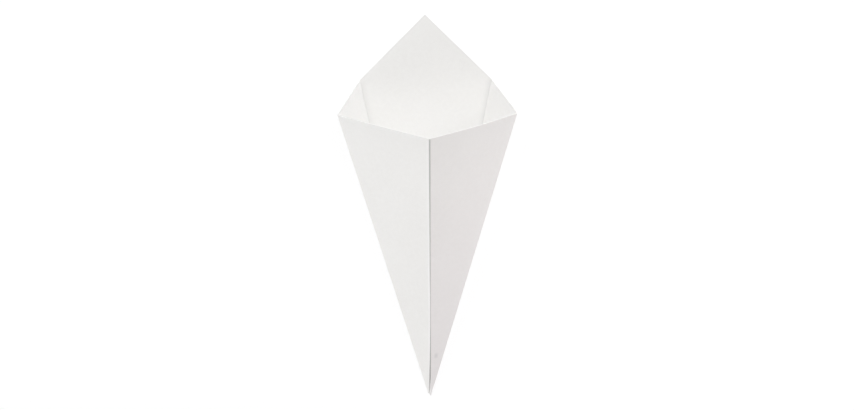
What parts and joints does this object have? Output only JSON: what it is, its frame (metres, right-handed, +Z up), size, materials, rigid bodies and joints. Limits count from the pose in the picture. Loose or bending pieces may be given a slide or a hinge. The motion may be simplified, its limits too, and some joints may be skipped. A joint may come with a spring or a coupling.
{
  "type": "fry cone",
  "caption": "White paperboard cone for fries, folded from one square sheet and glued along one flap, with a pointed tall back and an open mouth.",
  "frame": {"origin": "middle of the floor that the cone covers when it lies on its back panel", "axes": "+Z up, away from the back panel; +Y along the back's middle, from the closed tip to the peak; +X to the cone's right, seen from its front"},
  "size_m": [0.1144, 0.252, 0.0738],
  "materials": {
    "paperboard": "matt uncoated white"
  },
  "bodies": {
    "root": {"fry_cone": "paperboard"}
  },
  "joints": []
}
